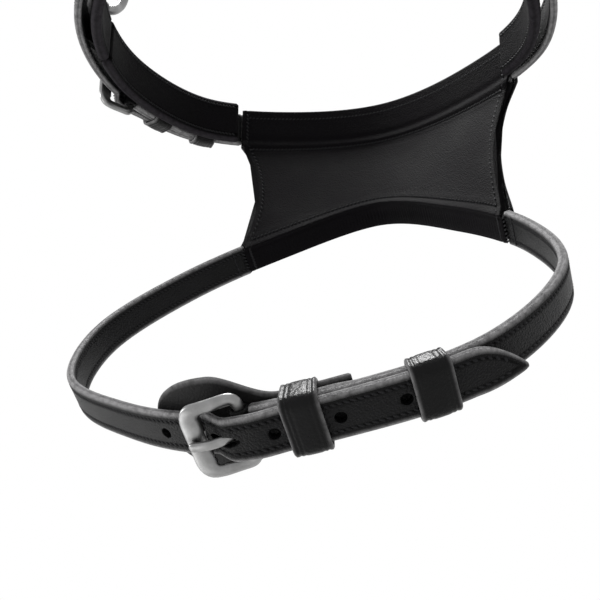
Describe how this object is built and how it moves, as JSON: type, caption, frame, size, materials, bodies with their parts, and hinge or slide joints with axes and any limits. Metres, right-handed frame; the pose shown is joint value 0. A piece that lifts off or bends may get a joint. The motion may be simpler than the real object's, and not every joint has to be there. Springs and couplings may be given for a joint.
{
  "type": "leather headcollar",
  "caption": "Black leather headcollar: a lined, shaped nose panel joins a padded nose strap and a chin strap that buckle apart, under a buckled headpiece on two rings.",
  "frame": {"origin": "middle of the space the nose fills, in the plane of the chin strap", "axes": "+Z towards the poll, +Y out of the front of the nose, +X to the off side as seen from the chin"},
  "size_m": [0.2218, 0.2034, 0.572],
  "materials": {
    "bridle_leather": "black bridle leather, semi-gloss, pebbled grain",
    "keeper_leather": "smooth black leather, polished, creased edges",
    "soft_leather": "soft black lining leather, fine grain",
    "foam": "black felt padding",
    "buckle_steel": "satin stainless steel",
    "ring_steel": "satin stainless steel"
  },
  "bodies": {
    "noseband": {"panel_lower_band": "bridle_leather", "chin_chape_strap": "bridle_leather", "chin_billet_strap": "bridle_leather", "chin_buckle_guard": "bridle_leather", "chin_fixed_keeper": "keeper_leather", "panel_upper_band": "bridle_leather", "nose_chape_strap": "bridle_leather", "nose_billet_strap": "bridle_leather", "nose_near_liner": "soft_leather", "nose_far_liner": "soft_leather", "nose_fixed_keeper": "keeper_leather", "near_ring_hanger": "bridle_leather", "far_ring_hanger": "bridle_leather", "panel_lining": "soft_leather", "panel_padding": "foam", "panel_facing": "bridle_leather"},
    "headpiece": {"far_cheek_strap": "bridle_leather", "near_cheek_strap": "bridle_leather", "crown_strap": "bridle_leather", "crown_fixed_keeper": "keeper_leather"},
    "chin_frame": {"chin_buckle_frame": "buckle_steel"},
    "chin_tongue": {"chin_buckle_tongue": "buckle_steel"},
    "chin_keeper": {"chin_running_keeper": "keeper_leather"},
    "nose_frame": {"nose_buckle_frame": "buckle_steel"},
    "nose_tongue": {"nose_buckle_tongue": "buckle_steel"},
    "nose_keeper": {"nose_running_keeper": "keeper_leather"},
    "crown_frame": {"crown_buckle_frame": "buckle_steel"},
    "crown_tongue": {"crown_buckle_tongue": "buckle_steel"},
    "crown_keeper": {"crown_running_keeper": "keeper_leather"},
    "near_ring": {"near_cheek_ring": "ring_steel"},
    "far_ring": {"far_cheek_ring": "ring_steel"}
  },
  "joints": [
    {"name": "chin_frame_lift", "type": "hinge", "parent": "noseband", "child": "chin_frame", "pos_m": [0.01274, -0.06382, -0.0528], "axis": [0, -0.6374, 0.7705], "range_deg": [0, 6]},
    {"name": "chin_tongue_lift", "type": "hinge", "parent": "chin_frame", "child": "chin_tongue", "pos_m": [0.01274, -0.06382, -0.0528], "axis": [0, -0.6374, 0.7705], "range_deg": [0, 5]},
    {"name": "nose_frame_lift", "type": "hinge", "parent": "noseband", "child": "nose_frame", "pos_m": [-0.10629, 0.00837, 0.135], "axis": [0, 0, -1], "range_deg": [0, 6]},
    {"name": "nose_tongue_lift", "type": "hinge", "parent": "nose_frame", "child": "nose_tongue", "pos_m": [-0.10629, 0.00837, 0.135], "axis": [0, 0, -1], "range_deg": [0, 5]},
    {"name": "chin_keeper_slide", "type": "hinge", "parent": "noseband", "child": "chin_keeper", "pos_m": [0.01986, 0.01665, 0.01378], "axis": [0, -0.6374, 0.7705], "range_deg": [-6, 2.8]},
    {"name": "nose_keeper_slide", "type": "hinge", "parent": "noseband", "child": "nose_keeper", "pos_m": [-0.0513, 0.02847, 0.135], "axis": [0, 0, -1], "range_deg": [-4, 6]},
    {"name": "near_ring_turn", "type": "hinge", "parent": "noseband", "child": "near_ring", "pos_m": [-0.09078, -0.038, 0.1715], "axis": [1, 0, 0], "continuous": true},
    {"name": "far_ring_turn", "type": "hinge", "parent": "noseband", "child": "far_ring", "pos_m": [0.09078, -0.038, 0.1715], "axis": [1, 0, 0], "continuous": true},
    {"name": "headpiece_swing", "type": "hinge", "parent": "noseband", "child": "headpiece", "pos_m": [0, -0.038, 0.1715], "axis": [1, 0, 0], "range_deg": [-70, 70]},
    {"name": "crown_frame_lift", "type": "hinge", "parent": "headpiece", "child": "crown_frame", "pos_m": [-0.09282, -0.038, 0.35221], "axis": [0, -1, 0], "range_deg": [0, 6]},
    {"name": "crown_tongue_lift", "type": "hinge", "parent": "crown_frame", "child": "crown_tongue", "pos_m": [-0.09282, -0.038, 0.35221], "axis": [0, -1, 0], "range_deg": [0, 5]},
    {"name": "crown_keeper_slide", "type": "slide", "parent": "headpiece", "child": "crown_keeper", "axis": [-0.0276, 0, -0.9996], "range_m": [-0.01, 0.01]}
  ]
}
